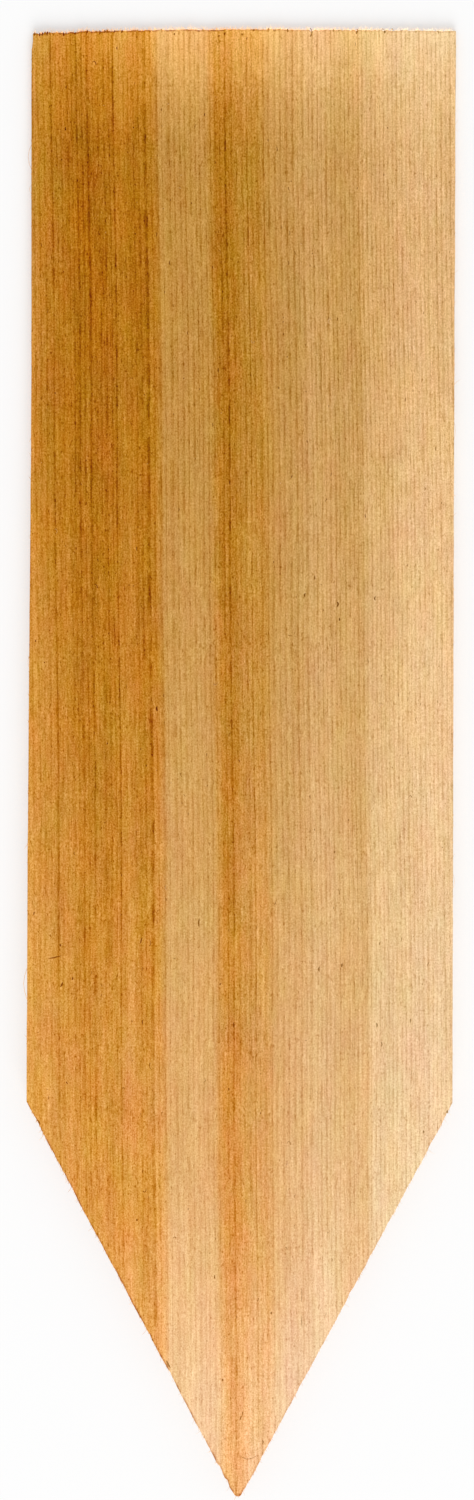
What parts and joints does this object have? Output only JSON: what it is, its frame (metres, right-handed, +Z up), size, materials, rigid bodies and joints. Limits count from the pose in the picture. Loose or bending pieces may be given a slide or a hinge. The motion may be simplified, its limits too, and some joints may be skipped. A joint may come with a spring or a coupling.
{
  "type": "wood shingle",
  "caption": "Tapersawn cedar shingle with a pointed butt and parallel sides, thick at the point and thin at the far end, laid in courses on a roof or wall.",
  "frame": {"origin": "on the flat back, at the middle of the shingle's width and of its length from point to thin end", "axes": "+X across the shingle, +Y along the grain from the pointed butt to the thin end, +Z up out of the flat back towards the sloping face"},
  "size_m": [0.127, 0.4384, 0.0114],
  "materials": {
    "cedar": "sawn, unfinished new red cedar, straight grain in lengthwise bands of red-brown and straw"
  },
  "bodies": {
    "root": {"shingle": "cedar"}
  },
  "joints": []
}
